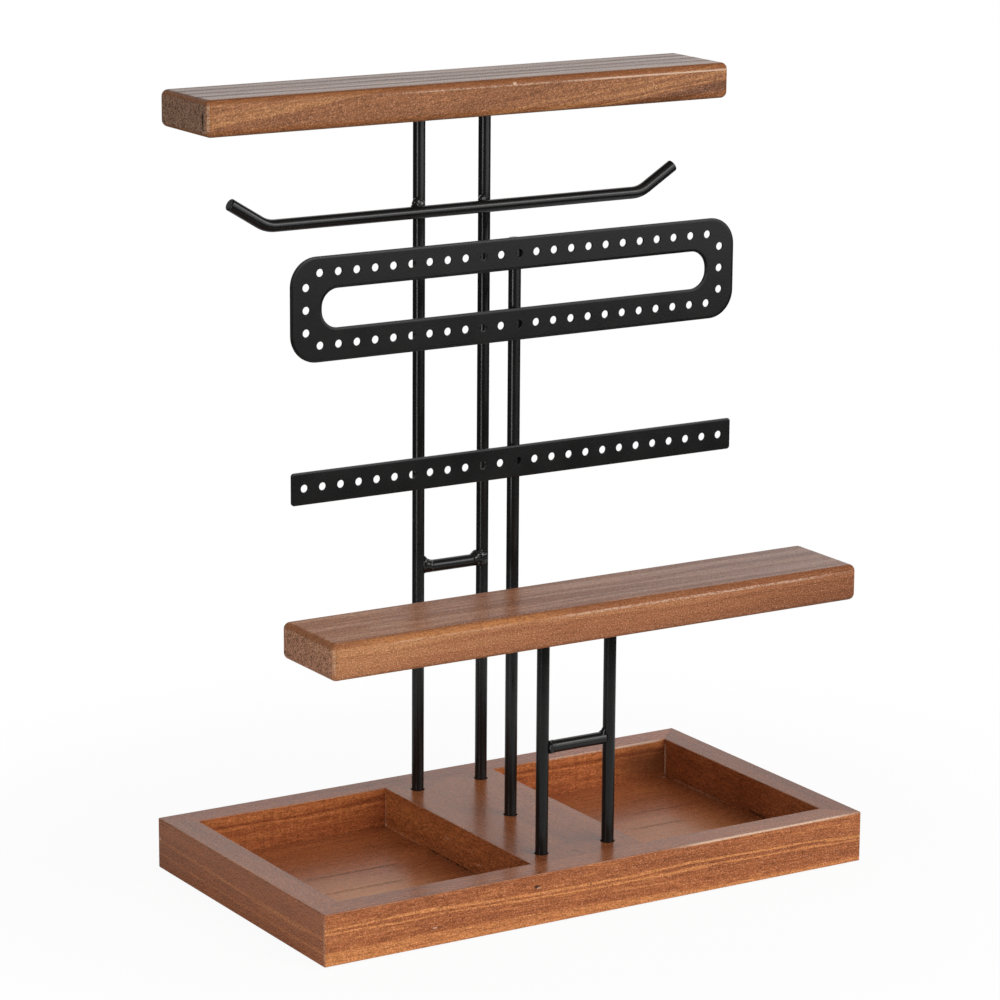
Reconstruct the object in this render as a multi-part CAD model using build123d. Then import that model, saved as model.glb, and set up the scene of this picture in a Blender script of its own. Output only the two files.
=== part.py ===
from build123d import *
import os

# A jewelry stand: a wooden tray with two wells, five upright steel rods that rise from the block between the
# wells, two wooden shelves on top of the rods, and a necklace bar, an earring frame and a stud bar across them.
# Millimetres. +Z is up, +X runs along the stand's length and -Y faces the user. The origin is on the surface
# that the stand rests on, under the middle of the tray.

# Tray: four mitred walls around a floor panel and a block
tray_length = 300.0
tray_depth = 165.0
tray_height = 25.0
wall_thickness = 14.5
tray_edge_radius = 0.5
glue_line = 0.1
floor_thickness = 5.0
floor_rebate = 6.0  # how far the floor panel reaches under the walls
floor_clearance = 0.3  # around the floor panel, in the walls' rebate
block_width = 63.0

# Stick-on feet
pad_diameter = 12.0
pad_thickness = 1.0
pad_inset = 12.0  # from the tray's outer faces to the middle of a pad

# Rods: one stock for the posts, the mast, the rungs and the necklace bar
rod_diameter = 6.0
rod_hole_clearance = 0.5  # all around a rod in the block
rear_row_inset = 9.5  # from the back wall to the middle of the rear posts
front_row_inset = 10.8  # from the front wall to the middle of the front posts
rear_post_spacing = 36.6
front_post_spacing = 37.2

# Heights, each counted from the one that carries it or lies below it
rear_rung_above_tray = 113.4
necklace_bar_above_rear_rung = 177.1
upper_shelf_above_necklace_bar = 46.1
front_rung_above_tray = 51.8
lower_shelf_above_front_rung = 55.7
stud_bar_above_tray = 169.6
frame_above_stud_bar = 50.9
mast_tip_drop = 0.8  # from the top edge of the earring frame down to the top of the mast
mast_tip_radius = 0.5

# Shelves
shelf_length = 289.0
shelf_depth = 48.0
shelf_thickness = 17.5
shelf_edge_radius = 3.2
socket_cover = 7.5  # wood left above the posts' blind holes
socket_clearance = 0.1

# Necklace bar: straight across the rear posts, with upturned tips
necklace_bar_straight = 209.0  # between the corners of its line
necklace_tip_run = 19.5
necklace_tip_rise = 12.0
necklace_bend_radius = 15.0
necklace_end_radius = 0.6

# Punched plates: the slotted earring frame and the stud bar
plate_thickness = 1.2
plate_band = 15.4  # height of the stud bar and of the frame above and below its slot
plate_edge_radius = 0.25
slot_length = 212.4
slot_height = 18.4
slot_corner_radius = 8.5
frame_end_band = 16.2
frame_corner_radius = 13.5
stud_bar_length = 245.0
stud_bar_corner_radius = 1.5
hole_diameter = 4.2
frame_hole_pitch = 9.73
frame_end_hole_pitch = 10.54
stud_hole_pitch = 9.64
frame_row_margin = 15.0  # least distance from the frame's end to a hole in its rows
stud_row_margin = 6.5
end_row_margin = 6.0  # least distance from a row's height to a hole in the frame's ends

# Welds
weld_leg = 2.4
weld_toe = 0.4
weld_run = 8.0
weld_root_share = 0.3
bar_bead_radius = 3.2
bar_bead_tip_radius = 1.4
bar_bead_root = 0.6  # from the necklace bar's centre line up to the foot of the bead
bar_bead_height = 6.0

# Countersunk screws up through the floor panel into the rods' tapped ends
rod_end_wall = 1.0
thread_clearance = 0.05
screw_length = 16.0
screw_head_flare = 1.75
screw_sink = 0.2
screw_hole_clearance = 0.2
tap_overrun = 2.0
recess_width = 1.1
recess_span = 4.0
recess_depth = 1.2

cut_overrun = 1.0

# Heights and places worked out from the sizes above
rod_radius = rod_diameter / 2
tray_bottom = pad_thickness
floor_top = tray_bottom + floor_thickness
tray_top = tray_bottom + tray_height
well_depth_y = tray_depth - 2 * wall_thickness
rear_row_y = well_depth_y / 2 - rear_row_inset
front_row_y = front_row_inset - well_depth_y / 2
mast_y = (rear_row_y + front_row_y) / 2
rear_post_x = rear_post_spacing / 2
front_post_x = front_post_spacing / 2
rear_rung_z = tray_top + rear_rung_above_tray
necklace_bar_z = rear_rung_z + necklace_bar_above_rear_rung
necklace_bar_y = rear_row_y - rod_diameter
upper_shelf_z = necklace_bar_z + upper_shelf_above_necklace_bar
front_rung_z = tray_top + front_rung_above_tray
lower_shelf_z = front_rung_z + lower_shelf_above_front_rung
socket_depth = shelf_thickness - socket_cover
stud_bar_z = tray_top + stud_bar_above_tray
frame_length = slot_length + 2 * frame_end_band
frame_height = slot_height + 2 * plate_band
frame_z = stud_bar_z + plate_band + frame_above_stud_bar
mast_top = frame_z + frame_height - mast_tip_drop
plate_back_y = mast_y - rod_radius
screw_radius = rod_radius - rod_end_wall
screw_head_radius = screw_radius + screw_head_flare
rod_places = [(x, rear_row_y) for x in (-rear_post_x, rear_post_x)]
rod_places += [(0, mast_y)]
rod_places += [(x, front_row_y) for x in (-front_post_x, front_post_x)]

on_floor = (Align.CENTER, Align.CENTER, Align.MIN)


def upright_cylinder(radius, x, y, low, high):
    """A vertical cylinder between two heights."""
    return Pos(x, y, low) * Cylinder(radius, high - low, align=on_floor)


def level_cylinder(radius, y, z, x_low, x_high):
    """A cylinder along X between two places."""
    length = x_high - x_low
    return Pos((x_low + x_high) / 2, y, z) * Rot(0, 90, 0) * Cylinder(radius, length)


def even_places(half_span, pitch):
    """Places either side of zero, a pitch apart, as many as fit in the half span."""
    count = int(half_span / pitch)
    return [pitch * i for i in range(-count, count + 1)]


def tray_ring():
    """The whole frame of the tray, before it is parted at the mitres."""
    ring = Pos(0, 0, tray_bottom) * Box(tray_length, tray_depth, tray_height, align=on_floor)
    ring = fillet(ring.edges(), tray_edge_radius)
    inner_length = tray_length - 2 * wall_thickness
    inner = Box(inner_length, well_depth_y, tray_height + 2 * cut_overrun, align=on_floor)
    ring -= Pos(0, 0, tray_bottom - cut_overrun) * inner
    top_edges = ring.edges().filter_by_position(Axis.Z, tray_top, tray_top).filter_by(GeomType.LINE)
    inside = [e for e in top_edges if abs(e.center().Y) <= well_depth_y / 2 and abs(e.center().X) <= inner_length / 2]
    ring = fillet(inside, tray_edge_radius)
    rebate = Box(inner_length + 2 * floor_rebate, well_depth_y + 2 * floor_rebate, floor_thickness + cut_overrun,
                 align=on_floor)
    return ring - Pos(0, 0, tray_bottom - cut_overrun) * rebate


def tray_walls():
    """The four walls, parted at the corners by a thin glue line."""
    ring = tray_ring()
    walls = {}
    for name, turn, outer_length, across in (
        ("tray_wall_front", 0, tray_length, tray_depth),
        ("tray_wall_back", 180, tray_length, tray_depth),
        ("tray_wall_left", -90, tray_depth, tray_length),
        ("tray_wall_right", 90, tray_depth, tray_length),
    ):
        half = outer_length / 2 - glue_line / 2
        shared = min(outer_length, across) / 2 - wall_thickness / 2
        side = -across / 2
        outline = Polyline((-half - cut_overrun, side - cut_overrun), (half + cut_overrun, side - cut_overrun),
                           (half - shared, side + shared), (shared - half, side + shared), close=True)
        prism = extrude(make_face(outline), tray_top + cut_overrun)
        walls[name] = ring & (Rot(0, 0, turn) * prism)
    return walls


def floor_panel():
    """One panel under both wells, let into the walls, with a countersunk hole under each rod."""
    length = tray_length - 2 * wall_thickness + 2 * (floor_rebate - floor_clearance)
    depth = well_depth_y + 2 * (floor_rebate - floor_clearance)
    panel = Pos(0, 0, tray_bottom) * Box(length, depth, floor_thickness, align=on_floor)
    for x, y in rod_places:
        hole_radius = screw_radius + screw_hole_clearance
        panel -= upright_cylinder(hole_radius, x, y, tray_bottom, floor_top)
        panel -= upright_cylinder(screw_head_radius, x, y, tray_bottom, tray_bottom + screw_sink)
        seat_height = screw_head_radius - hole_radius
        seat = Cone(screw_head_radius, hole_radius, seat_height, align=on_floor)
        panel -= Pos(x, y, tray_bottom + screw_sink) * seat
    return panel


def centre_block():
    """The block between the wells, drilled for the five rods."""
    depth = well_depth_y - 2 * glue_line
    block = Pos(0, 0, floor_top) * Box(block_width, depth, tray_top - floor_top, align=on_floor)
    well_edges = block.edges().filter_by(Axis.Y).group_by(Axis.Z)[-1]
    block = fillet(well_edges, tray_edge_radius)
    for x, y in rod_places:
        block -= upright_cylinder(rod_radius + rod_hole_clearance, x, y, floor_top, tray_top)
    return block


def foot_pads():
    """Four round pads under the corners of the tray."""
    x = tray_length / 2 - pad_inset
    y = tray_depth / 2 - pad_inset
    pads = [upright_cylinder(pad_diameter / 2, sx * x, sy * y, 0, pad_thickness) for sx in (-1, 1) for sy in (-1, 1)]
    return Compound(children=pads)


def tapped_rod(x, y, top):
    """A rod that stands on the floor panel, with a tapped hole in its lower end."""
    tap_top = tray_bottom + screw_sink + screw_length + tap_overrun
    rod = upright_cylinder(rod_radius, x, y, floor_top, top)
    return rod - upright_cylinder(screw_radius + thread_clearance, x, y, floor_top, tap_top)


def mast():
    """The middle rod, with an eased top."""
    rod = tapped_rod(0, mast_y, mast_top)
    return fillet(rod.edges().group_by(Axis.Z)[-1], mast_tip_radius)


def screw(x, y):
    """A countersunk screw with a cross recess in its head."""
    head_low = tray_bottom + screw_sink
    head = Cone(screw_head_radius, screw_radius, screw_head_flare, align=on_floor)
    body = Pos(x, y, head_low) * head
    body += upright_cylinder(screw_radius, x, y, head_low, head_low + screw_length)
    for turn in (0, 90):
        body -= Pos(x, y, head_low) * Rot(0, 0, turn) * Box(recess_span, recess_width, 2 * recess_depth)
    return body


def rung(y, z, post_x):
    """A cross rod cut square to fit between two posts."""
    return level_cylinder(rod_radius, y, z, rod_radius - post_x, post_x - rod_radius)


def rung_welds(y, z, post_x):
    """A bead around each end of a rung, flowing onto the post."""
    welds = []
    for side in (-1, 1):
        root_x = side * post_x
        toe_x = side * (post_x - rod_radius - weld_leg)
        root = Plane((root_x, y, z), x_dir=(0, 1, 0), z_dir=(-side, 0, 0)) * Ellipse(rod_radius + weld_toe,
                                                                                   rod_radius + weld_leg)
        toe = Plane((toe_x, y, z), x_dir=(0, 1, 0), z_dir=(-side, 0, 0)) * Ellipse(rod_radius + weld_toe,
                                                                                 rod_radius + weld_toe)
        bead = loft([root, toe])
        bead -= upright_cylinder(rod_radius, root_x, y, z - 2 * rod_diameter, z + 2 * rod_diameter)
        bead -= rung(y, z, post_x)
        welds.append(bead.solid())
    return welds


def necklace_bar():
    """A bent rod that lies across the front of the rear posts."""
    bend_x = necklace_bar_straight / 2
    tip_x = bend_x + necklace_tip_run
    tip_z = necklace_bar_z + necklace_tip_rise
    corners = [(-tip_x, necklace_bar_y, tip_z), (-bend_x, necklace_bar_y, necklace_bar_z),
               (bend_x, necklace_bar_y, necklace_bar_z), (tip_x, necklace_bar_y, tip_z)]
    line = FilletPolyline(*corners, radius=necklace_bend_radius)
    bar = sweep(Plane(line @ 0, z_dir=line % 0) * Circle(rod_radius), path=line)
    rims = [e for e in bar.edges().filter_by(GeomType.CIRCLE) if abs(abs(e.arc_center.X) - tip_x) < rod_radius / 2]
    return fillet(rims, necklace_end_radius)


def necklace_bar_welds():
    """A bead on top of the necklace bar at each rear post."""
    welds = []
    for side in (-1, 1):
        x = side * rear_post_x
        middle_y = (rear_row_y + necklace_bar_y) / 2
        cone = Cone(bar_bead_radius, bar_bead_tip_radius, bar_bead_height, align=on_floor)
        bead = Pos(x, middle_y, necklace_bar_z + bar_bead_root) * cone
        bead -= upright_cylinder(rod_radius, x, rear_row_y, necklace_bar_z, necklace_bar_z + 2 * rod_diameter)
        bead -= level_cylinder(rod_radius, necklace_bar_y, necklace_bar_z, x - rod_diameter, x + rod_diameter)
        welds.append(bead.solid())
    return welds


def punched_plate(length, height, corner_radius, low, holes, slot=None):
    """A flat plate that stands on edge against the front of the mast."""
    face = RectangleRounded(length, height, corner_radius)
    if slot:
        slot_x, slot_z, slot_radius = slot
        face -= RectangleRounded(slot_x, slot_z, slot_radius)
    plate = extrude(face, plate_thickness)
    plate = fillet(plate.edges().group_by(Axis.Z)[0] + plate.edges().group_by(Axis.Z)[-1], plate_edge_radius)
    drill = Cylinder(hole_diameter / 2, plate_thickness + 2 * cut_overrun, align=on_floor)
    plate -= [Pos(x, z, -cut_overrun) * drill for x, z in holes]
    front = Plane((0, plate_back_y, low + height / 2), x_dir=(1, 0, 0), z_dir=(0, -1, 0))
    return front * plate


def earring_frame():
    """A round-cornered plate with a long slot and a ring of holes."""
    row_z = (slot_height + plate_band) / 2
    end_x = (slot_length + frame_end_band) / 2
    row = even_places(frame_length / 2 - frame_row_margin, frame_hole_pitch)
    end = even_places(row_z - end_row_margin, frame_end_hole_pitch)
    holes = [(x, z) for x in row for z in (-row_z, row_z)]
    holes += [(x, z) for x in (-end_x, end_x) for z in end]
    slot = (slot_length, slot_height, min(slot_corner_radius, slot_height / 2 - plate_edge_radius))
    corner = min(frame_corner_radius, frame_height / 2 - plate_edge_radius)
    return punched_plate(frame_length, frame_height, corner, frame_z, holes, slot)


def stud_bar():
    """A narrow plate with one row of holes."""
    holes = [(x, 0) for x in even_places(stud_bar_length / 2 - stud_row_margin, stud_hole_pitch)]
    return punched_plate(stud_bar_length, plate_band, stud_bar_corner_radius, stud_bar_z, holes)


def mast_welds():
    """A pair of beads behind each band of the two plates, in the corners beside the mast."""
    welds = []
    frame_top_band = frame_z + frame_height - plate_band / 2
    for z in (stud_bar_z + plate_band / 2, frame_z + plate_band / 2, frame_top_band):
        for side in (-1, 1):
            section = Polyline((side * weld_root_share * rod_radius, 0), (side * (rod_radius + weld_toe), 0),
                               (side * (rod_radius - weld_toe), weld_leg), close=True)
            bead = Pos(0, plate_back_y, z) * extrude(make_face(section), weld_run / 2, both=True)
            bead -= upright_cylinder(rod_radius, 0, mast_y, z - weld_run, z + weld_run)
            welds.append(bead.solid())
    return welds


def shelf(low, y, post_x):
    """A round-edged board with two blind holes in its underside for the posts."""
    board = Pos(0, y, low) * Box(shelf_length, shelf_depth, shelf_thickness, align=on_floor)
    board = fillet(board.edges(), shelf_edge_radius)
    for side in (-1, 1):
        board -= upright_cylinder(rod_radius + socket_clearance, side * post_x, y, low, low + socket_depth)
    return board


nodes = tray_walls()
nodes["tray_floor_panel"] = floor_panel()
nodes["tray_centre_block"] = centre_block()
nodes["foot_pads"] = foot_pads()
nodes["post_screws"] = Compound(children=[screw(x, y) for x, y in rod_places])
nodes["rear_post_left"] = tapped_rod(-rear_post_x, rear_row_y, upper_shelf_z + socket_depth)
nodes["rear_post_right"] = tapped_rod(rear_post_x, rear_row_y, upper_shelf_z + socket_depth)
nodes["rear_rung"] = rung(rear_row_y, rear_rung_z, rear_post_x)
nodes["necklace_bar"] = necklace_bar()
rear_beads = rung_welds(rear_row_y, rear_rung_z, rear_post_x) + necklace_bar_welds()
nodes["rear_frame_welds"] = Compound(children=rear_beads)
nodes["mast"] = mast()
nodes["earring_frame"] = earring_frame()
nodes["stud_bar"] = stud_bar()
nodes["mast_welds"] = Compound(children=mast_welds())
nodes["front_post_left"] = tapped_rod(-front_post_x, front_row_y, lower_shelf_z + socket_depth)
nodes["front_post_right"] = tapped_rod(front_post_x, front_row_y, lower_shelf_z + socket_depth)
nodes["front_rung"] = rung(front_row_y, front_rung_z, front_post_x)
nodes["front_frame_welds"] = Compound(children=rung_welds(front_row_y, front_rung_z, front_post_x))
nodes["upper_shelf"] = shelf(upper_shelf_z, rear_row_y, rear_post_x)
nodes["lower_shelf"] = shelf(lower_shelf_z, front_row_y, front_post_x)

os.makedirs("parts", exist_ok=True)
for name, shape in nodes.items():
    export_step(shape, f"parts/{name}.step")
    print(name, [round(value, 2) for value in shape.bounding_box().size])
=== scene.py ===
from math import cos, pi, radians, sin

import bmesh
import bpy
from mathutils import Matrix, Vector, noise


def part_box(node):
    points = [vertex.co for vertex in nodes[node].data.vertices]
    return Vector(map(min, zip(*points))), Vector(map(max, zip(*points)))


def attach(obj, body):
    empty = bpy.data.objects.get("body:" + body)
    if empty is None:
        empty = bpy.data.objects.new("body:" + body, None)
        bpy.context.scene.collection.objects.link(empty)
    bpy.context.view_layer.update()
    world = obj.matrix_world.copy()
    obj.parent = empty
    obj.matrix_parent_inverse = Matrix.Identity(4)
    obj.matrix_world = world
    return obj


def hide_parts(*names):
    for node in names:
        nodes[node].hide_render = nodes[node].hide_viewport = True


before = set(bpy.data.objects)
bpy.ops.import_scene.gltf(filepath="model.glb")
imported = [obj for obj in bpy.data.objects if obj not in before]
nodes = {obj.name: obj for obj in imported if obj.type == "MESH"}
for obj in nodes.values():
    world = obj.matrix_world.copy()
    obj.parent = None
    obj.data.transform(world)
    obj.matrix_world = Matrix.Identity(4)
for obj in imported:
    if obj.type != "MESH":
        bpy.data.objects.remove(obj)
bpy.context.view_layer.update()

scene = bpy.context.scene
mm = 0.001
print("stage 1: frame loaded,", len(nodes), "nodes")

# Camera: where the photograph was taken from
camera = {
    "place": (-0.9833, -1.5793, 0.6286),
    "yaw": -31.707,
    "pitch": -13.458,
    "roll": 0.405,
    "focalLength": 144.24,  # mm, as is the sensor's width
    "sensorWidth": 36.0,
    "farthest": 30.0,  # metres that it sees
}


def addCamera():
    data = bpy.data.cameras.new("photo_camera")
    data.sensor_width = camera["sensorWidth"]
    data.lens = camera["focalLength"]
    data.clip_end = camera["farthest"]
    shooter = bpy.data.objects.new("photo_camera", data)
    turn = Matrix.Rotation(radians(camera["yaw"]), 4, "Z")
    turn @= Matrix.Rotation(radians(90.0 + camera["pitch"]), 4, "X")
    turn @= Matrix.Rotation(radians(camera["roll"]), 4, "Z")
    shooter.matrix_world = Matrix.Translation(camera["place"]) @ turn
    scene.collection.objects.link(shooter)
    scene.camera = shooter


addCamera()
scene.view_settings.view_transform = "Standard"


# Shader helpers: a socket or a plain value may be given for any input
def put(tree, kind, inputs=None, **settings):
    made = tree.nodes.new("ShaderNode" + kind)
    for key, value in settings.items():
        setattr(made, key, value)
    for key, value in (inputs or {}).items():
        if isinstance(value, bpy.types.NodeSocket):
            tree.links.new(value, made.inputs[key])
        else:
            made.inputs[key].default_value = value
    return made


def calc(tree, operation, *values):
    return put(tree, "Math", dict(enumerate(values)), operation=operation).outputs[0]


def remap(tree, value, low, high, toLow=0.0, toHigh=1.0):
    inputs = {"Value": value, "From Min": low, "From Max": high, "To Min": toLow, "To Max": toHigh}
    return put(tree, "MapRange", inputs, interpolation_type="SMOOTHSTEP").outputs[0]


def blendColours(tree, amount, first, second, way="MIX"):
    inputs = {0: amount, 6: first, 7: second}
    return put(tree, "Mix", inputs, data_type="RGBA", blend_type=way).outputs[2]


def grainNoise(tree, place, stretch, detail=2.0, roughness=0.5):
    stretched = put(tree, "VectorMath", {0: place, 1: stretch}, operation="MULTIPLY").outputs[0]
    inputs = {"Vector": stretched, "Scale": 1.0, "Detail": detail, "Roughness": roughness}
    return put(tree, "TexNoise", inputs).outputs[0]


def newFinish(name):
    finish = bpy.data.materials.new(name)
    finish.use_nodes = True
    return finish, finish.node_tree, finish.node_tree.nodes["Principled BSDF"]


# Stage: a pale floor, a white surround and soft lamps
stage = {
    "floorRadius": 0.42,
    "floorSides": 96,
    "floorColour": (0.92, 0.92, 0.92, 1.0),
    "floorRoughness": 0.9,
    "floorGlow": 0.94,  # the floor's own white for the camera near the stand, the rest of it takes the shadow
    "glowReach": (0.20, 0.40),  # the glow grows to full white between these distances
    "room": 0.06,  # the surround away from the backdrop and the ceiling
    "ceiling": 0.12,
    "ceilingRise": (0.0, 0.6),  # it starts and is full at these heights, as the sine of the angle above level
    "backdrop": 0.50,
    "backdropRise": (-0.12, 0.02),
    "backdropTowards": (0.526, 0.851, 0.0),
    "backdropEdge": (0.45, 0.85),  # how far round the backdrop reaches, as the cosine of the angle from its middle
}
lamps = {
    "right_softbox": {"azimuth": 30.0, "place": 1.5, "height": 0.70, "aim": 0.30, "size": (2.1, 1.46), "power": 17.0},
    "softbox_core": {"azimuth": 30.0, "place": 1.35, "height": 0.96, "aim": 0.30, "size": (1.6, 0.36), "power": 8.6},
    "left_strip": {"azimuth": -66.0, "place": 0.95, "height": 0.33, "aim": 0.28, "size": (0.22, 0.82), "power": 3.2},
    "overhead": {"azimuth": 20.0, "place": 0.25, "height": 1.7, "aim": 0.0, "size": (1.3, 1.3), "power": 1.5},
}


def addStage():
    sides = range(stage["floorSides"])
    turns = [2 * pi * k / len(sides) for k in sides]
    rim = [(stage["floorRadius"] * cos(turn), stage["floorRadius"] * sin(turn), 0) for turn in turns]
    mesh = bpy.data.meshes.new("studio_floor")
    mesh.from_pydata(rim, [], [tuple(sides)])
    floor = bpy.data.objects.new("studio_floor", mesh)
    scene.collection.objects.link(floor)
    finish, tree, shader = newFinish("floor_paper")
    shader.inputs["Base Color"].default_value = stage["floorColour"]
    shader.inputs["Roughness"].default_value = stage["floorRoughness"]
    shader.inputs["Specular IOR Level"].default_value = 0.0
    path = put(tree, "LightPath")
    glow = put(tree, "Emission", {"Color": (1, 1, 1, 1), "Strength": 1.0})
    place = put(tree, "TexCoord").outputs["Object"]
    distance = put(tree, "VectorMath", {0: place}, operation="LENGTH").outputs["Value"]
    share = remap(tree, distance, *stage["glowReach"], stage["floorGlow"], 1.0)
    amount = calc(tree, "MULTIPLY", path.outputs["Is Camera Ray"], share)
    joined = put(tree, "MixShader", {0: amount, 1: shader.outputs[0], 2: glow.outputs[0]})
    tree.links.new(joined.outputs[0], tree.nodes["Material Output"].inputs["Surface"])
    mesh.materials.append(finish)


def addSurround():
    world = bpy.data.worlds.new("white_surround")
    scene.world = world
    world.use_nodes = True
    tree = world.node_tree
    tree.nodes.clear()
    towards = put(tree, "TexCoord").outputs["Generated"]
    rise = put(tree, "SeparateXYZ", {0: towards}).outputs[2]
    facing = put(tree, "VectorMath", {0: towards, 1: stage["backdropTowards"]}, operation="DOT_PRODUCT")
    facing = facing.outputs["Value"]
    ceiling = remap(tree, rise, *stage["ceilingRise"], 0.0, stage["ceiling"])
    behind = remap(tree, facing, *stage["backdropEdge"])
    behind = calc(tree, "MULTIPLY", behind, remap(tree, rise, *stage["backdropRise"]))
    lit = calc(tree, "MULTIPLY_ADD", behind, stage["backdrop"], calc(tree, "ADD", ceiling, stage["room"]))
    path = put(tree, "LightPath")
    mirrored = calc(tree, "MULTIPLY", path.outputs["Is Glossy Ray"], behind)
    seen = calc(tree, "MAXIMUM", path.outputs["Is Camera Ray"], path.outputs["Is Transmission Ray"])
    seen = calc(tree, "MAXIMUM", seen, mirrored)
    strength = put(tree, "Mix", {0: seen, 2: lit, 3: 1.0}).outputs[0]
    glow = put(tree, "Background", {"Color": (1, 1, 1, 1), "Strength": strength})
    out = put(tree, "OutputWorld")
    tree.links.new(glow.outputs[0], out.inputs["Surface"])


def addLamp(name, lamp):
    data = bpy.data.lights.new(name, "AREA")
    data.shape = "RECTANGLE"
    data.size, data.size_y = lamp["size"]
    data.energy = lamp["power"]
    bulb = bpy.data.objects.new(name, data)
    turn = radians(lamp["azimuth"])
    bulb.location = (sin(turn) * lamp["place"], -cos(turn) * lamp["place"], lamp["height"])
    away = bulb.location - Vector((0.0, 0.0, lamp["aim"]))
    bulb.rotation_euler = away.to_track_quat("Z", "Y").to_euler()
    scene.collection.objects.link(bulb)


addStage()
addSurround()
for lampName, lampValues in lamps.items():
    addLamp(lampName, lampValues)
print("stage 2: camera and light set")

# Stained wood: one recipe, with each board's own grain, colour bands and marks
woodTones = {
    "deep": (0.105, 0.033, 0.014, 1.0),
    "brown": (0.232, 0.075, 0.026, 1.0),
    "red": (0.350, 0.120, 0.042, 1.0),
    "gold": (0.530, 0.222, 0.075, 1.0),
    "endGrain": (0.318, 0.166, 0.100, 1.0),
    "amber": (0.780, 0.340, 0.110, 1.0),
    "pale": (0.730, 0.510, 0.370, 1.0),
    "crack": (0.020, 0.010, 0.006, 1.0),
}
woodRecipe = {
    "seedStep": (0.37, 0.11, 0.0),  # moves each board's grain by the length of its name
    "grain": {  # stretch along, across and up the board, detail and roughness
        "drift": ((8.0, 80.0, 80.0), 2.0),
        "streaks": ((14.0, 300.0, 300.0), 3.0, 0.6),
        "lines": ((50.0, 1200.0, 1200.0), 2.0),
        "pores": ((240.0, 1700.0, 1700.0), 1.0),
        "specks": ((1300.0, 1700.0, 1700.0), 1.0),
        "stripes": ((2.5, 260.0, 260.0), 2.0, 0.6),
        "sawMarks": ((700.0, 30.0, 30.0), 1.0),
        "granules": ((800.0, 800.0, 800.0), 2.0),
        "curls": ((200.0, 200.0, 300.0), 1.0),
        "breaks": ((600.0, 1500.0, 1500.0), 1.0),
    },
    "waver": 12.0 * mm,  # how far the grain wanders sideways
    "bandWander": (6.0 * mm, 3.0 * mm),  # the same for the bands, with the drift and with the streaks
    "topBandWander": (9.0 * mm, 4.0 * mm),
    "bandFade": 1.3,  # mm over which a wide band fades out
    "bandCore": 0.5,  # the least share of a band that has its full strength
    "topBandCore": 0.3,
    "middleTone": 0.60,
    "stops": {"deep": 0.12, "brown": 0.40, "red": 0.62, "gold": 0.92},  # where each tone lies on the ramp
    "halfLength": 0.15,  # half the stand's length, for what changes from end to end
    "topFrom": 0.80,  # a face that looks up this much is a top
    "fades": {  # where each mask starts and is full, then its least and its most where they aren't 0 and 1
        "endwise": (0.78, 0.97),
        "lightThread": (0.57, 0.66),
        "darkThread": (0.42, 0.33),
        "stripe": (0.42, 0.58, -0.5, 0.5),
        "curl": (0.05, 0.0, 0.0, 0.20),
        "fleck": (0.58, 0.76),
        "arris": (0.97, 0.80),
        "arrisBreaks": (0.35, 0.60, 0.3, 1.0),
        "rounded": (0.995, 0.95),
        "upward": (0.05, 0.35),
    },
    "darkThread": 0.8,  # strength of the dark threads beside the light ones
    "stripeTone": 0.40,
    "stripeCoat": 0.50,
    "stripeBetweenBands": (0.35, 0.15),  # weight and rise of the stripes on a top that has bands
    "poreShade": 0.7,
    "endSpecks": 1.2,  # these three show on the ends only
    "endGranules": 1.8,
    "endRoughness": 0.15,
    "roughness": (0.20, 0.19),  # share of the pores in it, and its least
    "relief": {"lines": 0.3, "streaks": 1.0, "specks": 0.6, "cracks": -3.0},
    "bump": {"Strength": 0.35, "Distance": 0.25 * mm},
    "patchReach": 5.0,  # a spot wider than this in mm is a soft patch
    "longReach": 7.0,  # and a narrow one longer than this a line
    "patchCore": 0.1,
    "markCore": 0.55,
    "raggedness": {"start": 0.50, "earlier": 0.25, "full": 0.56},  # where the breaks cut into a mark
}
plainBoard = {
    "along": "X",  # the way the grain runs
    "slope": 0.0,  # degrees that the grain climbs on the upright faces
    "lift": 0.0, "liftAcross": 0.0,  # lighter or darker than the rest, and how that changes from end to end
    "tint": (1.0, 1.0, 1.0),
    "drift": 0.35, "streaks": 0.30, "lines": 0.12, "specks": 1.8,  # weights of the grain's layers
    "flecks": 0.28,
    "threads": 0.09,  # thin light and dark lines
    "saw": 0.0,  # marks of the saw across the grain
    "stripes": 0.0,  # soft stripes along the top
    "topBands": [],  # place from front to back, half width in mm, rise of the darker lines on the top
    # painted shade on the tops: added to their tone, darker where negative
    "topPaintedShade": 0.0, "specular": 0.15,
    "coat": 0.13, "coatAcross": 0.0, "coatRoughness": 0.13,
    "arris": 0.0,  # painted highlight along the sharp edges
    "rounds": 0.0,  # rounded edges lose the coat, and get painted shade where they face up
    "end": 0.60,
    "bands": [],  # height on the leaning grain, half width in mm, rise
    "spots": [],  # middle and reach in mm, tone, amount, raggedness
}
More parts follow.
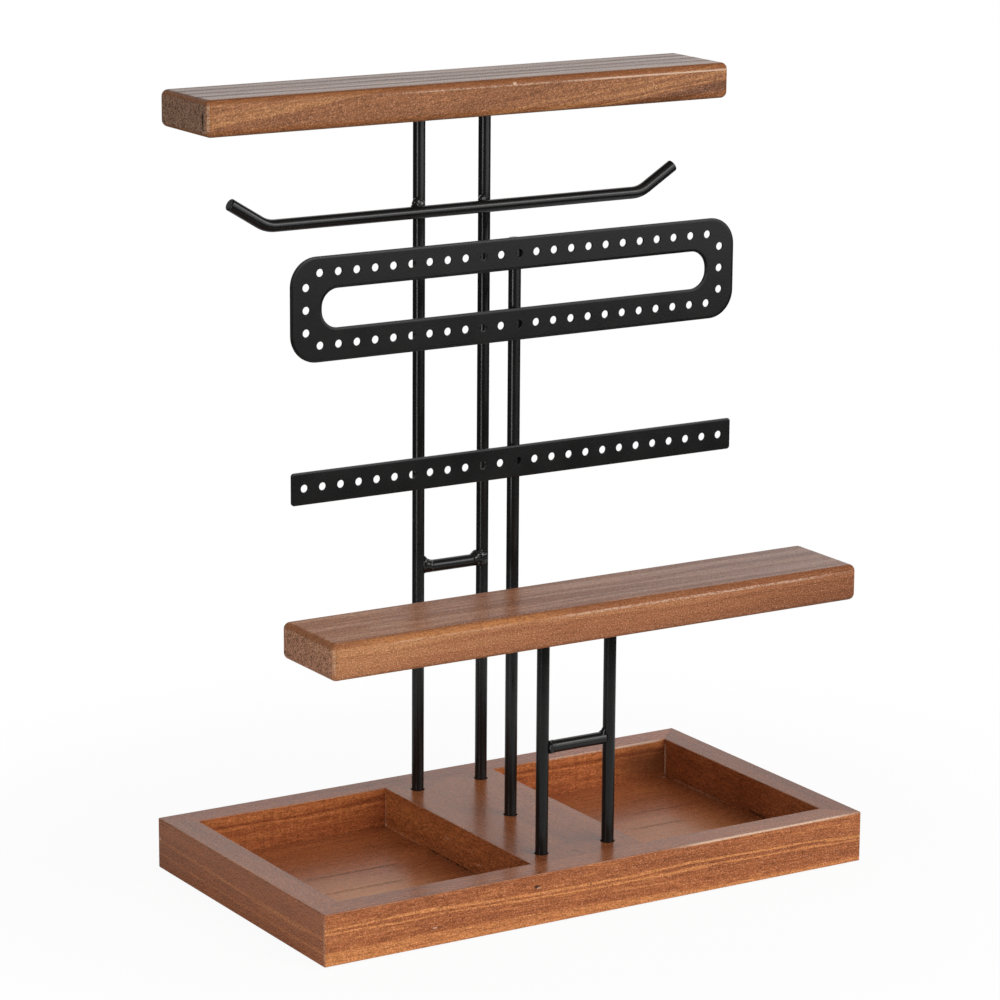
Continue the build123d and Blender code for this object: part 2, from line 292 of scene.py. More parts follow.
boards = {
    "tray_wall_front": {
        "slope": -1.0, "topPaintedShade": -0.10, "coat": 0.11, "arris": 0.25, "tint": (1.03, 0.95, 0.92),
        "threads": 0.15, "streaks": 0.22,
        "bands": [(15.3, 0.8, 0.52), (12.9, 0.6, 0.34), (9.6, 0.4, 0.14), (1.2, 3.6, 0.28)],
        "spots": [((-36.8, -82.5, 19.9), (2.2, 1.0, 1.0), "crack", 0.85, 0.2),
                  # painted highlight: the pale spot below the dark dent is its glint
                  ((-36.0, -82.5, 19.2), (1.0, 1.0, 0.45), "pale", 0.60, 0.0),
                  ((-92, -82.5, 9.7), (1.5, 1.0, 0.4), "pale", 0.70, 0.1),
                  # painted highlight: a pale line along the top front edge at the right
                  ((95, -82.3, 25.7), (62, 0.8, 0.7), "pale", 0.85, 0.35)],
    },
    "tray_wall_back": {
        "lift": 0.07, "topPaintedShade": -0.16, "coat": 0.10, "arris": 0.35, "tint": (1.13, 0.93, 0.85),
        "saw": 0.25, "specks": 1.6, "flecks": 0.12,
        "bands": [(19.8, 0.7, -0.22), (18.2, 0.6, 0.18), (23.0, 1.8, 0.10), (12.0, 1.6, 0.10)],
        # painted highlights: these three pale lines run along the inner top edge
        "spots": [((118, 67.9, 25.7), (18, 1.0, 0.9), "pale", 0.95, 0.1),
                  ((80, 67.9, 25.7), (26, 1.0, 0.8), "pale", 0.60, 0.6),
                  ((-75, 67.9, 25.9), (42, 0.7, 0.5), "pale", 0.30, 0.7),
                  ((0, 67.9, 6.4), (150, 0.8, 0.6), "crack", 0.30, 0.7),
                  # painted shade: a dark patch at the right end of the back wall
                  ((124, 67.5, 15), (36, 4, 17), "deep", 0.80, 0.1)],
    },
    "tray_wall_left": {
        "along": "Y", "lift": -0.10, "arris": 0.25, "tint": (1.02, 0.95, 0.92),
        "streaks": 0.26, "specks": 3.0, "threads": 0.06,
        "bands": [(13.0, 1.3, 0.20), (7.0, 0.7, 0.14)],
        "spots": [((-150, 61.5, 16.5), (1, 1.6, 0.8), "crack", 0.35, 0.4),
                  ((-150, 80.9, 15.8), (1.2, 0.9, 1.0), "pale", 0.75, 0.2),
                  ((-149.6, -82.0, 13), (0.7, 0.7, 13), "pale", 0.35, 0.8)],
    },
    "tray_wall_right": {
        "along": "Y", "lift": -0.06, "topPaintedShade": -0.18, "coat": 0.07, "arris": 0.25, "tint": (1.06, 0.94, 0.86),
        "flecks": 0.14,
        "spots": [((135.4, 38, 6.5), (0.9, 28, 0.6), "pale", 0.38, 0.75),
                  ((135.0, -16, 8.3), (0.9, 9, 1.1), "crack", 0.85, 0.6),
                  ((135.0, 67.2, 15.0), (1.0, 1.1, 10), "pale", 0.70, 0.5)],
    },
    "tray_centre_block": {
        "along": "Y", "lift": -0.02, "liftAcross": -0.22, "topPaintedShade": -0.10, "coat": 0.118, "tint": (1.08, 0.96, 0.84),
        "specks": 2.4, "threads": 0.03, "flecks": 0.16,
        "spots": [((-31.5, 67.3, 15.0), (0.6, 0.5, 10), "pale", 0.60, 0.80),
                  ((-31.5, 67.0, 7.2), (0.8, 1.0, 1.0), "pale", 0.80, 0.1),
                  ((-31.5, 49, 6.5), (0.8, 18, 0.5), "pale", 0.30, 0.8),
                  ((-31.5, 6, 6.5), (0.8, 25, 0.7), "crack", 0.85, 0.75),
                  ((-31.5, 8, 17.0), (0.6, 3.4, 0.4), "pale", 0.50, 0.2),
                  ((-31.5, -22, 12.0), (0.6, 2.6, 0.4), "pale", 0.50, 0.2),
                  ((-3.5, -62.5, 26.0), (2.2, 3.0, 0.6), "crack", 0.45, 0.8),
                  ((31.5, 67.3, 15.0), (0.6, 0.45, 10), "pale", 0.45, 0.5)],
    },
    "tray_floor_panel": {
        "lift": -0.02, "drift": 0.30, "streaks": 0.42, "specks": 2.4, "threads": 0.05, "flecks": 0.14,
        "tint": (1.08, 0.93, 0.86),
        "spots": [((-81, 15.1, 6), (30, 1.3, 1), "crack", 0.90, 0.85),
                  ((-87, -7.2, 6), (27, 1.3, 1), "crack", 0.90, 0.85),
                  ((88, 1.7, 6), (18, 1.2, 1), "crack", 0.80, 0.85),
                  ((100, 22, 6), (20, 1.2, 1), "crack", 0.40, 0.9),
                  ((134, 66, 6), (1.6, 1.6, 1), "pale", 0.60, 0.3),
                  # painted light: these two amber patches brighten the front part of each well's floor
                  ((-94, -38, 6), (64, 68, 4), "amber", 0.56, 0.2),
                  ((84, -26, 6), (62, 60, 4), "amber", 0.28, 0.2)],
    },
    "upper_shelf": {
        "slope": 7.1, "lift": -0.05, "topPaintedShade": -0.13, "tint": (0.96, 1.10, 1.24), "specular": 0.045,
        "drift": 0.24, "streaks": 0.15, "stripes": 1.0, "threads": 0.06, "rounds": 0.40, "end": 0.85,
        "coat": 0.24, "coatRoughness": 0.18,
        "topBands": [(48.0, 2.7, -0.75), (58.3, 2.7, -0.75), (68.4, 2.6, -0.70), (77.3, 2.0, -0.60),
                     (53.0, 1.0, -0.20)],
        "bands": [(27.5, 8.2, 0.10), (19.9, 0.5, 0.16), (21.2, 0.5, 0.08), (22.6, 0.4, 0.08), (24.1, 0.5, 0.09),
                  (25.3, 0.4, 0.07), (26.9, 0.4, 0.07), (28.6, 0.5, 0.08), (30.2, 0.4, 0.08), (32.0, 0.5, 0.08),
                  (25.9, 1.2, -0.08), (-1.2, 0.5, 0.10), (-3.2, 0.9, 0.16), (-7.2, 1.5, 0.18),
                  (-10.7, 0.5, 0.26), (-14.6, 3.0, -0.22)],
        # painted highlights: these two pale lines run along the front top edge
        "spots": [((104, 34.5, 376.9), (56, 1.4, 0.50), "pale", 0.90, 0.30),
                  ((10, 34.5, 376.9), (70, 1.4, 0.45), "pale", 0.55, 0.85),
                  ((20.4, 34.5, 377.6), (1.3, 1.5, 1.0), "pale", 0.85, 0.2),
                  ((-143.4, 35.2, 371.5), (0.8, 0.9, 8.5), "pale", 0.60, 0.85),
                  ((-144.5, 39.0, 371.0), (1.0, 1.1, 4.5), "crack", 0.90, 0.2)],
    },
    "lower_shelf": {
        "lift": -0.04, "liftAcross": -0.15, "topPaintedShade": -0.03, "tint": (1.02, 1.17, 1.56), "specular": 0.02,
        "drift": 0.28, "streaks": 0.20, "stripes": 0.35, "threads": 0.03, "rounds": 0.40, "end": 0.40,
        "flecks": 0.36, "coat": 0.25, "coatAcross": 0.21, "coatRoughness": 0.22,
        "bands": [(13.5, 2.2, 0.12), (8.0, 3.0, 0.06)],
        # painted highlights: gold on the left of the front round-over, and these two pale lines along the front top
        # edge
        "spots": [((-75, -79.6, 149.2), (66, 3.4, 1.8), "gold", 0.80, 0.8),
                  ((50, -81.2, 147.9), (95, 1.4, 0.75), "pale", 0.55, 0.80),
                  ((-85, -81.2, 147.9), (45, 1.4, 0.60), "pale", 0.30, 0.9),
                  ((-104, -60.5, 151.0), (12, 1.6, 0.6), "pale", 0.30, 0.6),
                  ((-112, -64.0, 151.0), (10, 1.3, 0.6), "pale", 0.22, 0.6),
                  ((-143.4, -80.5, 142.0), (0.8, 0.9, 8.5), "pale", 0.38, 0.9)],
    },
}


# A layer of the grain swings a level up and down
def swing(tree, level, layer, weight):
    return calc(tree, "MULTIPLY_ADD", calc(tree, "SUBTRACT", layer, 0.5), weight, level)


def woodFinish(name, board):
    board = {**plainBoard, **board}
    grain, fades, reliefs = woodRecipe["grain"], woodRecipe["fades"], woodRecipe["relief"]
    finish, tree, shader = newFinish(name + "_wood")
    coords = put(tree, "TexCoord")
    turned = (0, 0, radians(90.0) if board["along"] == "Y" else 0.0)
    toBoard = put(tree, "Mapping", {"Vector": coords.outputs["Object"], "Rotation": turned}).outputs[0]
    facing = put(tree, "Mapping", {"Vector": coords.outputs["Normal"], "Rotation": turned}).outputs[0]
    facing = put(tree, "SeparateXYZ", {0: put(tree, "VectorMath", {0: facing}, operation="ABSOLUTE").outputs[0]})
    onTop = calc(tree, "GREATER_THAN", facing.outputs[2], woodRecipe["topFrom"])
    endwise = remap(tree, facing.outputs[0], *fades["endwise"])

    # The grain leans on the upright faces and runs straight on the top
    seed = [step * len(name) for step in woodRecipe["seedStep"]]
    leaning = put(tree, "Mapping", {"Vector": toBoard, "Rotation": (0, radians(board["slope"]), 0)}).outputs[0]
    place = put(tree, "Mix", {0: onTop, 4: leaning, 5: toBoard}, data_type="VECTOR").outputs[1]
    height = put(tree, "SeparateXYZ", {0: leaning}).outputs[2]
    place = put(tree, "VectorMath", {0: place, 1: seed}, operation="ADD").outputs[0]
    drift = grainNoise(tree, place, *grain["drift"])
    waver = put(tree, "CombineXYZ", {1: drift, 2: drift}).outputs[0]
    sideways = (0, woodRecipe["waver"], woodRecipe["waver"])
    wavered = put(tree, "VectorMath", {0: waver, 1: sideways, 2: place}, operation="MULTIPLY_ADD").outputs[0]
    streaks = grainNoise(tree, wavered, *grain["streaks"])
    lines = grainNoise(tree, wavered, *grain["lines"])
    pores = grainNoise(tree, place, *grain["pores"])
    specks = grainNoise(tree, place, *grain["specks"])

    across = put(tree, "SeparateXYZ", {0: toBoard}).outputs[0]
    halfLength = woodRecipe["halfLength"]
    tone = woodRecipe["middleTone"] + board["lift"]
    tone = calc(tree, "MULTIPLY_ADD", across, board["liftAcross"] / halfLength, tone)
    for layer, weight in ((drift, "drift"), (streaks, "streaks"), (lines, "lines")):
        tone = swing(tree, tone, layer, board[weight])
    tone = calc(tree, "ADD", tone, remap(tree, lines, *fades["lightThread"], 0.0, board["threads"]))
    darkThread = remap(tree, lines, *fades["darkThread"], 0.0, board["threads"] * woodRecipe["darkThread"])
    tone = calc(tree, "SUBTRACT", tone, darkThread)
    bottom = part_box(name)[0][2]
    wander = swing(tree, height, drift, woodRecipe["bandWander"][0])
    wander = swing(tree, wander, streaks, woodRecipe["bandWander"][1])
    upright = calc(tree, "SUBTRACT", 1.0, onTop)
    for middle, halfWidth, rise in board["bands"]:
        gap = calc(tree, "ABSOLUTE", calc(tree, "SUBTRACT", wander, bottom + middle * mm))
        core = max(halfWidth * woodRecipe["bandCore"], halfWidth - woodRecipe["bandFade"])
        band = remap(tree, gap, halfWidth * mm, core * mm, 0.0, rise)
        tone = calc(tree, "MULTIPLY_ADD", band, upright, tone)
    # Painted shade on the tops
    tone = calc(tree, "MULTIPLY_ADD", onTop, board["topPaintedShade"], tone)
    coat = calc(tree, "MULTIPLY_ADD", across, board["coatAcross"] / halfLength, board["coat"])
    if board["stripes"]:
        striped = grainNoise(tree, wavered, *grain["stripes"])
        striped = remap(tree, striped, *fades["stripe"])
        if board["topBands"]:
            striped = calc(tree, "MULTIPLY_ADD", striped, *woodRecipe["stripeBetweenBands"])
        deep = put(tree, "SeparateXYZ", {0: toBoard}).outputs[1]
        deep = swing(tree, deep, drift, woodRecipe["topBandWander"][0])
        deep = swing(tree, deep, streaks, woodRecipe["topBandWander"][1])
        for middle, halfWidth, rise in board["topBands"]:
            gap = calc(tree, "ABSOLUTE", calc(tree, "SUBTRACT", deep, middle * mm))
            core = halfWidth * woodRecipe["topBandCore"]
            striped = calc(tree, "ADD", striped, remap(tree, gap, halfWidth * mm, core * mm, 0.0, rise))
        swung = calc(tree, "MULTIPLY", calc(tree, "MULTIPLY", striped, board["stripes"]), onTop)
        tone = calc(tree, "MULTIPLY_ADD", swung, woodRecipe["stripeTone"], tone)
        coat = calc(tree, "MULTIPLY_ADD", swung, woodRecipe["stripeCoat"], coat)
        coat = calc(tree, "MAXIMUM", coat, 0.0)
    if board["saw"]:
        sawn = grainNoise(tree, place, *grain["sawMarks"])
        tone = swing(tree, tone, sawn, board["saw"])

    ramp = put(tree, "ValToRGB", {0: tone})
    stops = ramp.color_ramp.elements
    stops[0].position, stops[0].color = woodRecipe["stops"]["deep"], woodTones["deep"]
    stops[1].position, stops[1].color = woodRecipe["stops"]["gold"], woodTones["gold"]
    for toneName in ("brown", "red"):
        stops.new(woodRecipe["stops"][toneName]).color = woodTones[toneName]
    colour = blendColours(tree, calc(tree, "MULTIPLY", endwise, board["end"]), ramp.outputs[0], woodTones["endGrain"])

    # Fine pores and flecks darken and lighten the stain
    grit = calc(tree, "MULTIPLY_ADD", endwise, woodRecipe["endSpecks"], board["specks"])
    shade = swing(tree, 1.0, specks, grit)
    shade = swing(tree, shade, pores, woodRecipe["poreShade"])
    granules = grainNoise(tree, place, *grain["granules"])
    shade = swing(tree, shade, granules, calc(tree, "MULTIPLY", endwise, woodRecipe["endGranules"]))
    curls = grainNoise(tree, place, *grain["curls"])
    curls = calc(tree, "ABSOLUTE", calc(tree, "SUBTRACT", curls, 0.5))
    curls = calc(tree, "MULTIPLY", endwise, remap(tree, curls, *fades["curl"]))
    shade = calc(tree, "SUBTRACT", shade, curls)
    colour = put(tree, "VectorMath", {0: colour, 1: board["tint"]}, operation="MULTIPLY").outputs[0]
    colour = put(tree, "VectorMath", {0: colour, "Scale": shade}, operation="SCALE").outputs[0]
    fleck = remap(tree, specks, *fades["fleck"], 0.0, board["flecks"])
    colour = blendColours(tree, fleck, colour, woodTones["pale"])

    sharpest = calc(tree, "MAXIMUM", calc(tree, "MAXIMUM", facing.outputs[0], facing.outputs[1]), facing.outputs[2])
    if board["arris"]:
        # Painted highlight along the sharp edges, broken by the streaks
        arrisHighlight = remap(tree, sharpest, *fades["arris"])
        arrisHighlight = calc(tree, "MULTIPLY", arrisHighlight, remap(tree, streaks, *fades["arrisBreaks"]))
        colour = blendColours(tree, calc(tree, "MULTIPLY", arrisHighlight, board["arris"]), colour, woodTones["pale"])
    if board["rounds"]:
        # Painted shade on the rounded edges that face up; the coat is taken off all rounded edges
        rounded = remap(tree, sharpest, *fades["rounded"])
        upward = put(tree, "SeparateXYZ", {0: coords.outputs["Normal"]}).outputs[2]
        above = remap(tree, upward, *fades["upward"], 0.0, board["rounds"])
        colour = blendColours(tree, calc(tree, "MULTIPLY", rounded, above), colour, woodTones["brown"])
        coat = calc(tree, "MULTIPLY", coat, calc(tree, "SUBTRACT", 1.0, rounded))
    dip = calc(tree, "MULTIPLY", specks, reliefs["specks"])
    breaks = grainNoise(tree, place, *grain["breaks"])
    for middle, reach, toneName, amount, ragged in board["spots"]:
        middle, halfSize = [v * mm for v in middle], [v * mm for v in reach]
        away = put(tree, "VectorMath", {0: coords.outputs["Object"], 1: middle}, operation="SUBTRACT")
        scaled = put(tree, "VectorMath", {0: away.outputs[0], 1: halfSize}, operation="DIVIDE")
        patch = sorted(reach)[1] > woodRecipe["patchReach"]
        if max(reach) > woodRecipe["longReach"] and not patch:  # long marks keep their width up to the ends
            sides = put(tree, "VectorMath", {0: scaled.outputs[0]}, operation="ABSOLUTE").outputs[0]
            sides = put(tree, "SeparateXYZ", {0: sides}).outputs
            distance = calc(tree, "MAXIMUM", calc(tree, "MAXIMUM", sides[0], sides[1]), sides[2])
        else:
            distance = put(tree, "VectorMath", {0: scaled.outputs[0]}, operation="LENGTH").outputs["Value"]
        mask = remap(tree, distance, 1.0, woodRecipe["patchCore" if patch else "markCore"], 0.0, amount)
        whole, torn = 1.0 - ragged, woodRecipe["raggedness"]
        broken = remap(tree, breaks, torn["start"] - torn["earlier"] * whole, torn["full"], whole, 1.0)
        mask = calc(tree, "MULTIPLY", mask, broken)
        colour = blendColours(tree, mask, colour, woodTones[toneName])
        if toneName == "crack":
            dip = calc(tree, "MULTIPLY_ADD", mask, reliefs["cracks"], dip)
    tree.links.new(colour, shader.inputs["Base Color"])

    roughness = calc(tree, "MULTIPLY_ADD", pores, *woodRecipe["roughness"])
    roughness = calc(tree, "MULTIPLY_ADD", endwise, woodRecipe["endRoughness"], roughness)
    tree.links.new(roughness, shader.inputs["Roughness"])
    shader.inputs["IOR"].default_value = 1.5
    shader.inputs["Specular IOR Level"].default_value = board["specular"]
    tree.links.new(coat, shader.inputs["Coat Weight"])
    shader.inputs["Coat Roughness"].default_value = board["coatRoughness"]
    relief = calc(tree, "MULTIPLY_ADD", streaks, reliefs["streaks"], dip)
    relief = calc(tree, "MULTIPLY_ADD", lines, reliefs["lines"], relief)
    bump = put(tree, "Bump", {**woodRecipe["bump"], "Height": relief})
    tree.links.new(bump.outputs[0], shader.inputs["Normal"])
    return finish


# Metal, screws and pads
metalRecipe = {
    "peel": ((900.0, 900.0, 900.0), 2.0),  # stretch and detail
    "cloud": ((40.0, 40.0, 40.0), 2.0),
    "cloudTint": (0.3, 0.7, 0.85, 1.15),
    "cloudRoughness": 0.12,
    "bumpDepth": 0.06 * mm,
}
plainMetal = {
    "colour": (0.008, 0.008, 0.0078), "roughness": 0.22, "metallic": 0.0, "specular": 0.34,
    "grit": 0.25,  # strength of the fine bumps
    "plate": None,  # the plate whose edges the coat is rounded along
    "wears": (),  # nodes that wear this finish
}
metals = {
    "black_powder_coat": {"wears": ("rear_rung", "necklace_bar", "front_rung")},
    "black_weld": {"roughness": 0.16, "grit": 0.20, "specular": 0.48},
    "black_frame_coat": {"grit": 0.35, "specular": 0.24, "plate": "earring_frame", "wears": ("earring_frame",)},
    "black_stud_coat": {"plate": "stud_bar", "wears": ("stud_bar",)},
    "black_front_coat": {"roughness": 0.20, "specular": 0.27, "wears": ("front_post_left", "front_post_right")},
    "black_rear_coat": {"specular": 0.40, "wears": ("rear_post_left", "rear_post_right", "mast")},
    "zinc_plate": {"colour": (0.55, 0.55, 0.56), "roughness": 0.32, "metallic": 1.0, "grit": 0.12,
                   "wears": ("post_screws",)},
    "pad_rubber": {"colour": (0.03, 0.03, 0.03), "roughness": 0.85, "grit": 0.6, "wears": ("foot_pads",)},
}

# The coat is rounded along the plates' edges and catches the light there
coatEdge = {  # width and depth of the rounding, then each outline's half size and corner, in mm
    "earring_frame": {"width": 1.3, "drop": 0.26, "edge": ((122.4, 24.6), 13.5), "slot": ((106.2, 9.2), 8.5)},
    "stud_bar": {"width": 0.95, "drop": 0.13, "edge": ((122.5, 7.7), 1.5)},
}


# How far a place on an upright plate lies outside a rounded rectangle, negative inside it
def outlineDistance(tree, parts, middle, half, corner):
    across = calc(tree, "SUBTRACT", calc(tree, "ABSOLUTE", parts[0]), (half[0] - corner) * mm)
    rise = calc(tree, "ABSOLUTE", calc(tree, "SUBTRACT", parts[2], middle))
    rise = calc(tree, "SUBTRACT", rise, (half[1] - corner) * mm)
    beyond = put(tree, "CombineXYZ", {0: calc(tree, "MAXIMUM", across, 0.0), 1: calc(tree, "MAXIMUM", rise, 0.0)})
    beyond = put(tree, "VectorMath", {0: beyond.outputs[0]}, operation="LENGTH").outputs["Value"]
    within = calc(tree, "MINIMUM", calc(tree, "MAXIMUM", across, rise), 0.0)
    return calc(tree, "SUBTRACT", calc(tree, "ADD", beyond, within), corner * mm)


def roundedCoat(tree, place, plate):
    low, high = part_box(plate)
    middle = (low[2] + high[2]) / 2
    parts = put(tree, "SeparateXYZ", {0: place}).outputs
    inward = calc(tree, "MULTIPLY", outlineDistance(tree, parts, middle, *coatEdge[plate]["edge"]), -1.0)
    if "slot" in coatEdge[plate]:
        inward = calc(tree, "MINIMUM", inward, outlineDistance(tree, parts, middle, *coatEdge[plate]["slot"]))
    height = remap(tree, inward, 0.0, coatEdge[plate]["width"] * mm)
    inputs = {"Strength": 1.0, "Distance": coatEdge[plate]["drop"] * mm, "Height": height}
    return put(tree, "Bump", inputs).outputs[0]


def metalFinish(name, metal):
    finish, tree, shader = newFinish(name)
    place = put(tree, "TexCoord").outputs["Object"]
    peel = grainNoise(tree, place, *metalRecipe["peel"])
    cloud = grainNoise(tree, place, *metalRecipe["cloud"])
    tint = remap(tree, cloud, *metalRecipe["cloudTint"])
    shade = put(tree, "VectorMath", {0: metal["colour"], "Scale": tint}, operation="SCALE").outputs[0]
    tree.links.new(shade, shader.inputs["Base Color"])
    swings = metalRecipe["cloudRoughness"]
    roughness = calc(tree, "MULTIPLY_ADD", cloud, swings, metal["roughness"] - 0.5 * swings)
    tree.links.new(roughness, shader.inputs["Roughness"])
    shader.inputs["Metallic"].default_value = metal["metallic"]
    shader.inputs["Specular IOR Level"].default_value = metal["specular"]
    bump = put(tree, "Bump", {"Strength": metal["grit"], "Distance": metalRecipe["bumpDepth"], "Height": peel})
    if metal["plate"]:
        tree.links.new(roundedCoat(tree, place, metal["plate"]), bump.inputs["Normal"])
    tree.links.new(bump.outputs[0], shader.inputs["Normal"])
    return finish


def wear(node, finish):
    slots = nodes[node].data.materials
    slots.clear()
    slots.append(finish)


for boardName, boardValues in boards.items():
    wear(boardName, woodFinish(boardName, boardValues))
metalFinishes = {}
for metalName, metalValues in metals.items():
    metalValues = {**plainMetal, **metalValues}
    metalFinishes[metalName] = metalFinish(metalName, metalValues)
    for nodeName in metalValues["wears"]:
        wear(nodeName, metalFinishes[metalName])
print("stage 3: finishes on")

# Lumpy weld beads in place of the plain ones: ellipsoids run together, then roughened.
# Each blob is its middle from the corner of the two rods, and its reach, in mm.
weldLumps = {
    "voxel": 0.25 * mm,
    "smoothing": 8,
    "roughness": 0.18 * mm,
    "lumpSize": 1.4 * mm,
    "rodRadius": 3.0 * mm,
    "blobSteps": 3,  # fineness of each ellipsoid
    "rear_frame_welds": {
        ("rear_post_left", "rear_rung"): [
            ((3.0, 0.0, 1.3), (2.1, 3.4, 4.6)), ((4.6, 0.0, 0.8), (2.6, 3.5, 3.5)),
            ((6.2, 0.0, 0.2), (2.8, 3.35, 3.3))],
        ("rear_post_right", "rear_rung"): [
            ((-3.6, -0.3, 1.6), (2.6, 3.2, 3.5)), ((-5.2, -0.2, 0.7), (2.6, 3.3, 3.0)),
            ((-1.2, -2.2, 0.8), (2.7, 1.9, 3.8)), ((-1.9, -2.2, 4.4), (1.1, 1.2, 1.5)),
            ((0.2, -2.7, 1.4), (1.4, 1.1, 2.4)), ((-2.4, -2.6, -1.2), (1.6, 1.4, 1.7))],
        ("rear_post_left", "necklace_bar"): [
            ((-3.0, -3.3, 3.8), (2.8, 2.2, 3.1)), ((-1.2, -3.6, 3.2), (2.4, 1.8, 2.4)),
            ((-5.0, -4.4, 2.3), (2.0, 2.0, 1.7))],
        ("rear_post_right", "necklace_bar"): [
            ((-3.2, -3.3, 3.0), (2.0, 2.0, 2.2)), ((-2.8, -3.0, 4.2), (1.2, 1.2, 1.4))],
    },
    "front_frame_welds": {
        ("front_post_left", "front_rung"): [
            ((3.2, -0.4, 0.2), (1.5, 3.4, 3.3)), ((5.7, 0.0, 0.0), (0.9, 3.3, 3.3)),
            ((3.6, -2.9, 1.0), (1.1, 1.0, 1.4)), ((3.4, -2.7, -1.4), (1.1, 1.0, 1.2))],
        ("front_post_right", "front_rung"): [
            ((-3.0, 0.2, 2.9), (0.9, 1.5, 2.3)), ((-3.8, 0.1, 2.3), (1.2, 1.8, 1.6)),
            ((-4.6, 0.0, 1.2), (1.4, 2.5, 1.9))],
    },
    "mast_welds": {
        ("mast", "stud_bar"): [((s * 3.2, -2.3, z), (1.5, 1.4, 1.6)) for s in (-1, 1)
                               for z in (-3.0, -1.2, 0.7, 2.6)],
        ("mast", "earring_frame"): [((s * 3.2, -2.3, 16.9 * t + z), (1.5, 1.4, 1.6)) for s in (-1, 1)
                                    for t in (-1, 1) for z in (-2.8, -1.0, 0.9, 2.7)],
    },
}


def middleOf(node):
    low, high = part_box(node)
    return [(low[k] + high[k]) / 2 for k in range(3)]


def addWeld(node):
    bm = bmesh.new()
    for (postName, crossName), blobs in weldLumps[node].items():
        postX, postY, _ = middleOf(postName)
        crossZ = middleOf(crossName)[2]
        if crossName == "necklace_bar":  # bent, so its lowest line gives its height at the posts
            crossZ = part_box(crossName)[0][2] + weldLumps["rodRadius"]
        for shift, reach in blobs:
            place = Matrix.Translation((postX + shift[0] * mm, postY + shift[1] * mm, crossZ + shift[2] * mm))
            grown = place @ Matrix.Diagonal((*(r * mm for r in reach), 1.0))
            bmesh.ops.create_icosphere(bm, subdivisions=weldLumps["blobSteps"], radius=1.0, matrix=grown)
    rough = bpy.data.meshes.new(node + "_blobs")
    bm.to_mesh(rough)
    bm.free()
    piece = bpy.data.objects.new(node + "_lumps", rough)
    scene.collection.objects.link(piece)
    joined = piece.modifiers.new("run_together", "REMESH")
    joined.mode = "VOXEL"
    joined.voxel_size = weldLumps["voxel"]
    smoothed = piece.modifiers.new("smoothed", "SMOOTH")
    smoothed.iterations = weldLumps["smoothing"]
    melted = bpy.data.meshes.new_from_object(piece.evaluated_get(bpy.context.evaluated_depsgraph_get()))
    piece.modifiers.clear()
    piece.data = melted
    for vertex, normal in zip(melted.vertices, [n.vector.copy() for n in melted.vertex_normals]):
        lump = noise.noise(vertex.co / weldLumps["lumpSize"])
        vertex.co += normal * lump * weldLumps["roughness"]
    melted.shade_smooth()
    melted.materials.append(metalFinishes["black_weld"])
    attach(piece, "root")
    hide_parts(node)


for weldName in ("rear_frame_welds", "front_frame_welds", "mast_welds"):
    addWeld(weldName)
print("stage 4: weld beads laid")

# Filler that closes the seams between the block and the long walls flush with the top
seamFill = {
    "gap": 0.1 * mm,
    "wallRound": 0.5 * mm,  # the long walls' inner edge is rounded by this
    "depth": 1.5 * mm,
    "below": 0.01 * mm,
    "clear": 0.005 * mm,  # kept free of the block and of the walls
    "arcSteps": 6,
}


def addSeamFill(name, side):
    low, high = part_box("tray_centre_block")
    end, top = high[1] + seamFill["clear"], high[2] - seamFill["below"]
    middle = high[1] + seamFill["gap"] + seamFill["wallRound"]
    section = [(end, top), (middle, top)]
    for step in range(1, seamFill["arcSteps"] + 1):
        turn = 0.5 * pi * step / seamFill["arcSteps"]
        section.append((middle - seamFill["wallRound"] * sin(turn) - seamFill["clear"],
                        high[2] - seamFill["wallRound"] * (1.0 - cos(turn)) - seamFill["below"]))
    section += [(section[-1][0], high[2] - seamFill["depth"]), (end, high[2] - seamFill["depth"])]
    bm = bmesh.new()
    face = bm.faces.new([bm.verts.new((low[0] + seamFill["wallRound"], side * y, z)) for y, z in section])
    pulled = bmesh.ops.extrude_face_region(bm, geom=[face])["geom"]
    length = high[0] - low[0] - 2 * seamFill["wallRound"]
    bmesh.ops.translate(bm, vec=(length, 0, 0), verts=[v for v in pulled if isinstance(v, bmesh.types.BMVert)])
    bmesh.ops.recalc_face_normals(bm, faces=bm.faces)
    mesh = bpy.data.meshes.new(name)
    bm.to_mesh(mesh)
    bm.free()
    mesh.materials.append(nodes["tray_centre_block"].data.materials[0])
    piece = bpy.data.objects.new(name, mesh)
    scene.collection.objects.link(piece)
    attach(piece, "root")


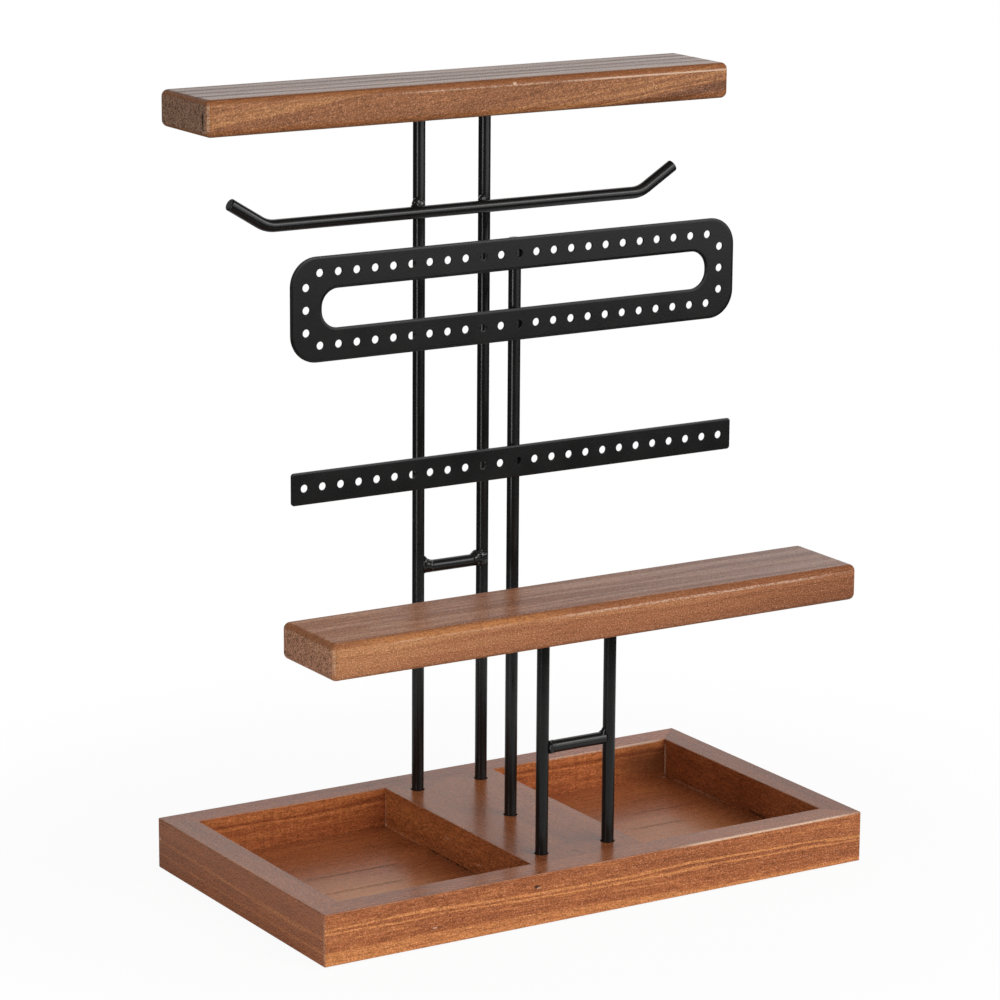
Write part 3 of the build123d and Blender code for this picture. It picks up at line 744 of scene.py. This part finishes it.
addSeamFill("seam_fill_front", -1)
addSeamFill("seam_fill_back", 1)
print("stage 5: seams filled")

# Rounded rims of thick coat in the plates' holes
holeRims = {
    "sides": 20,
    "profile": [(2.14, 0.02), (2.03, 0.04), (1.94, 0.12), (1.88, 0.26), (1.86, 0.42)],  # radius and depth in mm
}
frameHoles = {"pitch": 9.73, "perSide": 11, "row": 16.9, "end": 114.3, "endPitch": 10.54}  # mm from the middle
studHoles = {"pitch": 9.64, "perSide": 12}
holePlaces = {
    "earring_frame": [(frameHoles["pitch"] * k, frameHoles["row"] * side)
                      for k in range(-frameHoles["perSide"], frameHoles["perSide"] + 1) for side in (-1, 1)]
                     + [(frameHoles["end"] * side, frameHoles["endPitch"] * k)
                        for side in (-1, 1) for k in (-1, 0, 1)],
    "stud_bar": [(studHoles["pitch"] * k, 0.0) for k in range(-studHoles["perSide"], studHoles["perSide"] + 1)],
}


def addHoleRims(node, finish):
    low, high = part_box(node)
    middle = (low[2] + high[2]) / 2
    front = [(radius * mm, low[1] + depth * mm) for radius, depth in holeRims["profile"]]
    back = [(radius * mm, high[1] - depth * mm) for radius, depth in reversed(holeRims["profile"])]
    turns = [2 * pi * k / holeRims["sides"] for k in range(holeRims["sides"])]
    bm = bmesh.new()
    for x, z in holePlaces[node]:
        rings = [[bm.verts.new((x * mm + radius * cos(t), y, middle + z * mm + radius * sin(t))) for t in turns]
                 for radius, y in front + back]
        for ring, following in zip(rings, rings[1:] + rings[:1]):
            for k in range(len(turns)):
                bm.faces.new((ring[k - 1], ring[k], following[k], following[k - 1]))
    bmesh.ops.recalc_face_normals(bm, faces=bm.faces)
    mesh = bpy.data.meshes.new(node + "_hole_rims")
    bm.to_mesh(mesh)
    bm.free()
    mesh.shade_smooth()
    mesh.materials.append(finish)
    piece = bpy.data.objects.new(node + "_hole_rims", mesh)
    scene.collection.objects.link(piece)
    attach(piece, "root")


addHoleRims("earring_frame", metalFinishes["black_powder_coat"])
addHoleRims("stud_bar", metalFinishes["black_powder_coat"])
print("stage 6: hole rims set")
